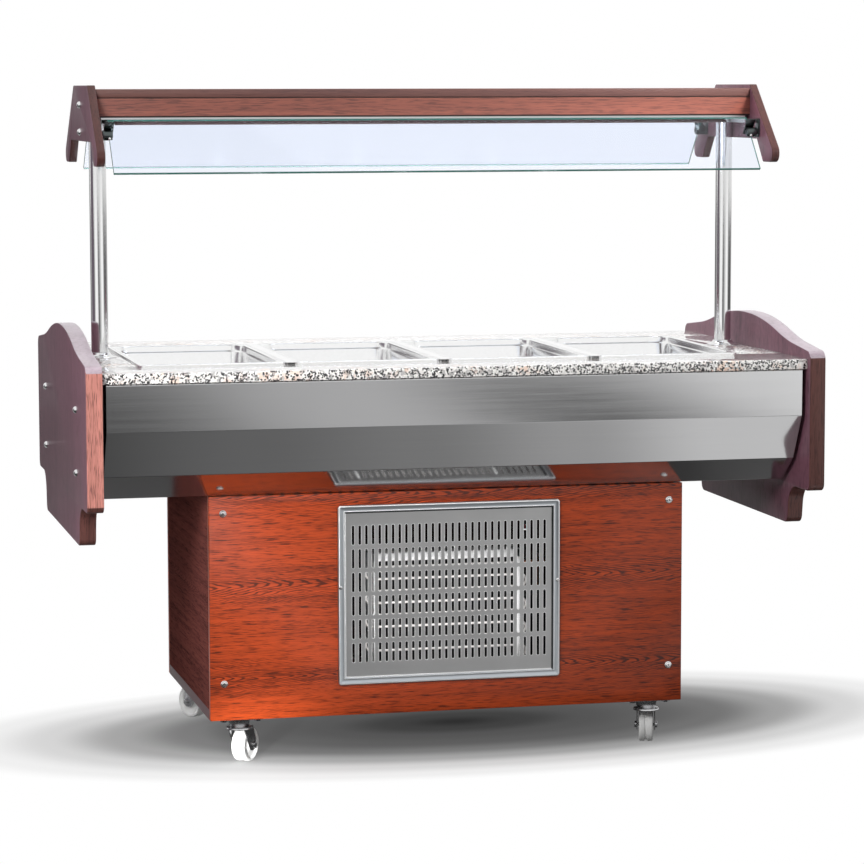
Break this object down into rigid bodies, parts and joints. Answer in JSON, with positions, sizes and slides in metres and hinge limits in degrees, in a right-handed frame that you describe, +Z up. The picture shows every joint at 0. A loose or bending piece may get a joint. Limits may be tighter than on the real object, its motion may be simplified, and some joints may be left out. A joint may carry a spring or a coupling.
{
  "type": "mobile salad bar",
  "caption": "Mobile refrigerated salad bar: wooden base on castors, stone counter with lift-out pans, and a canopy on posts with tilting glass screens.",
  "frame": {"origin": "on the floor under the middle of the unit", "axes": "+Z up, -Y towards the front with the slotted grille, +X to the right of a person facing the front"},
  "size_m": [1.654, 0.916, 1.486],
  "materials": {
    "mahogany": "satin lacquer",
    "granite": "polished",
    "brushed_steel": "brushed",
    "pan_steel": "fine brushed",
    "polished_steel": "polished",
    "tinted_glass": "clear",
    "lens_plastic": "frosted",
    "foam": "cellular foam",
    "frame_paint": "satin",
    "black_paint": "satin",
    "galvanised": "galvanised",
    "aluminium": "plain",
    "copper": "drawn copper",
    "brass": "cast and drawn",
    "black_plastic": "fine texture",
    "red_plastic": "dipped",
    "zinc": "bright zinc",
    "nylon": "moulded nylon"
  },
  "bodies": {
    "cabinet": {"canopy_top_board": "mahogany", "canopy_fascias": "mahogany", "bracket_left": "mahogany", "bracket_right": "mahogany", "end_panel_left": "mahogany", "end_panel_right": "mahogany", "base_front_panel": "mahogany", "base_rear_panel": "mahogany", "base_side_left": "mahogany", "base_side_right": "mahogany", "granite_front": "granite", "granite_rear": "granite", "granite_ends": "granite", "canopy_tray": "brushed_steel", "well_liner": "brushed_steel", "pan_bars": "brushed_steel", "tank_front_skin": "brushed_steel", "tank_rear_skin": "brushed_steel", "tank_floor": "brushed_steel", "tank_ends": "brushed_steel", "grille_frame": "brushed_steel", "grille_plate": "brushed_steel", "rear_vent_plate": "brushed_steel", "post_left": "polished_steel", "post_right": "polished_steel", "post_collars": "polished_steel", "dome_bolts": "polished_steel", "panel_screws": "polished_steel", "glass_hinge_brackets": "polished_steel", "lamp_lens": "lens_plastic", "insulation": "foam", "base_frame": "frame_paint", "compressor": "black_paint", "fan_motor": "black_paint", "fan_shroud": "galvanised", "condenser_coil": "aluminium", "refrigerant_pipes": "copper", "drain_pipe": "brass", "controller": "black_plastic", "cable_gland": "black_plastic", "castor_plates": "zinc"},
    "glass_front": {"glass_front": "tinted_glass", "glass_jaws_front": "polished_steel"},
    "glass_rear": {"glass_rear": "tinted_glass", "glass_jaws_rear": "polished_steel"},
    "fan": {"fan_rotor": "aluminium"},
    "rocker": {"rocker_switch": "black_plastic"},
    "drain_lever": {"drain_lever": "red_plastic"},
    "pan_1": {"pan_1": "pan_steel"},
    "pan_2": {"pan_2": "pan_steel"},
    "pan_3": {"pan_3": "pan_steel"},
    "pan_4": {"pan_4": "pan_steel"},
    "fork_fl": {"castor_fork_fl": "zinc"},
    "wheel_fl": {"castor_wheel_fl": "nylon"},
    "fork_fr": {"castor_fork_fr": "zinc"},
    "wheel_fr": {"castor_wheel_fr": "nylon"},
    "fork_rl": {"castor_fork_rl": "zinc"},
    "wheel_rl": {"castor_wheel_rl": "nylon"},
    "fork_rr": {"castor_fork_rr": "zinc"},
    "wheel_rr": {"castor_wheel_rr": "nylon"}
  },
  "joints": [
    {"name": "swivel_fl", "type": "hinge", "parent": "cabinet", "child": "fork_fl", "pos_m": [-0.467, -0.266, 0.09], "axis": [0, 0, 1], "continuous": true},
    {"name": "roll_fl", "type": "hinge", "parent": "fork_fl", "child": "wheel_fl", "pos_m": [-0.45015, -0.24364, 0.0375], "axis": [-0.7986, 0.6018, 0], "continuous": true},
    {"name": "swivel_fr", "type": "hinge", "parent": "cabinet", "child": "fork_fr", "pos_m": [0.467, -0.266, 0.09], "axis": [0, 0, 1], "continuous": true},
    {"name": "roll_fr", "type": "hinge", "parent": "fork_fr", "child": "wheel_fr", "pos_m": [0.47519, -0.23922, 0.0375], "axis": [-0.9563, 0.2924, 0], "continuous": true},
    {"name": "swivel_rl", "type": "hinge", "parent": "cabinet", "child": "fork_rl", "pos_m": [-0.467, 0.266, 0.09], "axis": [0, 0, 1], "continuous": true},
    {"name": "roll_rl", "type": "hinge", "parent": "fork_rl", "child": "wheel_rl", "pos_m": [-0.481, 0.29025, 0.0375], "axis": [-0.866, -0.5, 0], "continuous": true},
    {"name": "swivel_rr", "type": "hinge", "parent": "cabinet", "child": "fork_rr", "pos_m": [0.467, 0.266, 0.09], "axis": [0, 0, 1], "continuous": true},
    {"name": "roll_rr", "type": "hinge", "parent": "fork_rr", "child": "wheel_rr", "pos_m": [0.481, 0.29025, 0.0375], "axis": [-0.866, 0.5, 0], "continuous": true},
    {"name": "front_glass_tilt", "type": "hinge", "parent": "cabinet", "child": "glass_front", "pos_m": [0, -0.19, 1.378], "axis": [1, 0, 0], "range_deg": [-45, 42]},
    {"name": "rear_glass_tilt", "type": "hinge", "parent": "cabinet", "child": "glass_rear", "pos_m": [0, 0.19, 1.378], "axis": [1, 0, 0], "range_deg": [-42, 45]},
    {"name": "lift_pan_1", "type": "slide", "parent": "cabinet", "child": "pan_1", "axis": [0, 0, 1], "range_m": [0, 0.16]},
    {"name": "lift_pan_2", "type": "slide", "parent": "cabinet", "child": "pan_2", "axis": [0, 0, 1], "range_m": [0, 0.16]},
    {"name": "lift_pan_3", "type": "slide", "parent": "cabinet", "child": "pan_3", "axis": [0, 0, 1], "range_m": [0, 0.16]},
    {"name": "lift_pan_4", "type": "slide", "parent": "cabinet", "child": "pan_4", "axis": [0, 0, 1], "range_m": [0, 0.16]},
    {"name": "fan_spin", "type": "hinge", "parent": "cabinet", "child": "fan", "pos_m": [0, -0.174, 0.286], "axis": [0, 1, 0], "continuous": true},
    {"name": "rocker_press", "type": "hinge", "parent": "cabinet", "child": "rocker", "pos_m": [0.33, 0.307, 0.424], "axis": [1, 0, 0], "range_deg": [-7, 7]},
    {"name": "drain_turn", "type": "hinge", "parent": "cabinet", "child": "drain_lever", "pos_m": [-0.38, 0.14, 0.075], "axis": [0, 1, 0], "range_deg": [0, 90]}
  ]
}
